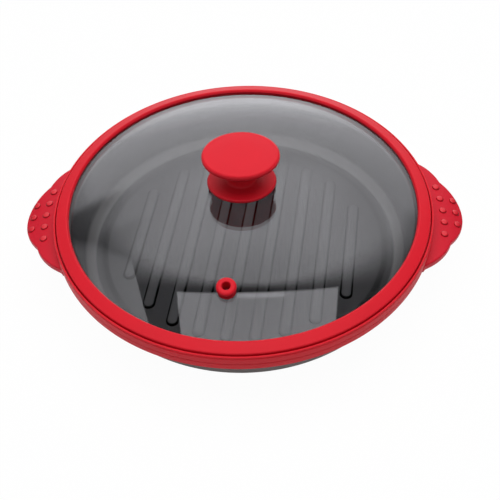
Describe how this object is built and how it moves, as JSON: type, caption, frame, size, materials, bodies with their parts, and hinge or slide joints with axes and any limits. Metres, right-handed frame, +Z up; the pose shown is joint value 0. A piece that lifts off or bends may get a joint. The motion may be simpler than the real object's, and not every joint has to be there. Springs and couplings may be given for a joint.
{
  "type": "microwave grill pan",
  "caption": "Round ribbed grill pan with a silicone collar and lobed handles, under a domed glass lid with a silicone rim, steam vent and disc knob.",
  "frame": {"origin": "centre of the plane that the feet stand on, on the pan's own axis", "axes": "+Z up along the pan's axis and the lid's lift, +X through the middle of one handle, +Y across the handles, away from the steam vent"},
  "size_m": [0.2866, 0.2452, 0.0907],
  "materials": {
    "nonstick_aluminium": "dark grey non-stick coating with a fine grain",
    "heating_compound": "matt black filled silicone",
    "foot_silicone": "matt dark grey silicone",
    "collar_silicone": "satin red silicone",
    "rim_silicone": "satin red silicone",
    "vent_silicone": "satin red silicone",
    "knob_silicone": "matt red silicone",
    "skirt_silicone": "satin red silicone",
    "tempered_glass": "clear tempered glass",
    "knob_core_plastic": "matt black heatproof plastic",
    "insert_brass": "plain turned brass",
    "gasket_silicone": "translucent grey silicone",
    "stainless_steel": "bright stainless steel"
  },
  "bodies": {
    "pan": {"pan_body": "nonstick_aluminium", "heating_layer": "heating_compound", "foot_1": "foot_silicone", "foot_2": "foot_silicone", "foot_3": "foot_silicone", "foot_4": "foot_silicone", "silicone_collar": "collar_silicone"},
    "lid": {"lid_glass": "tempered_glass", "lid_rim": "rim_silicone", "vent_grommet": "vent_silicone", "knob_cap": "knob_silicone", "knob_skirt": "skirt_silicone", "knob_core": "knob_core_plastic", "thread_insert": "insert_brass", "knob_gasket": "gasket_silicone", "lower_gasket": "gasket_silicone", "screw_washer": "stainless_steel", "knob_screw": "stainless_steel"}
  },
  "joints": [
    {"name": "lid_lift", "type": "slide", "parent": "pan", "child": "lid", "axis": [0, 0, 1], "range_m": [0, 0.1]}
  ]
}
